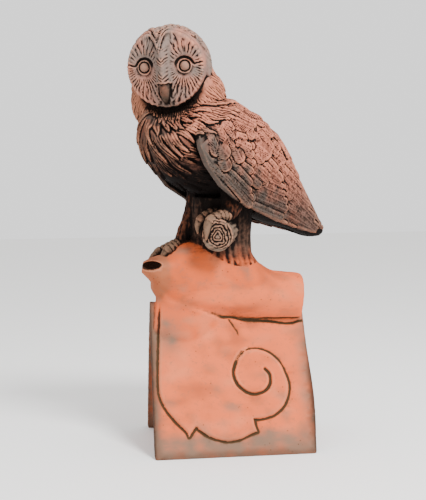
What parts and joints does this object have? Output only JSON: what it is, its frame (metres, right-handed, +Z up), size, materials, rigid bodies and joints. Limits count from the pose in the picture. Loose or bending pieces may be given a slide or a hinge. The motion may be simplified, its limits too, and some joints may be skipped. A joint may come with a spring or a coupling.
{
  "type": "decorative ridge tile",
  "caption": "Saddle-shaped terracotta ridge tile with a branch roll along the ridge, a raised scroll on its slopes and a barn owl perched on it.",
  "frame": {"origin": "on the surface that the tile stands on, under the middle of the whole object's box", "axes": "+X along the ridge towards the roll's plain end, +Y from the front slope to the back slope, +Z up"},
  "size_m": [0.3204, 0.2422, 0.6208],
  "materials": {
    "terracotta": "matt"
  },
  "bodies": {
    "root": {"owl_ridge_tile": "terracotta"}
  },
  "joints": []
}
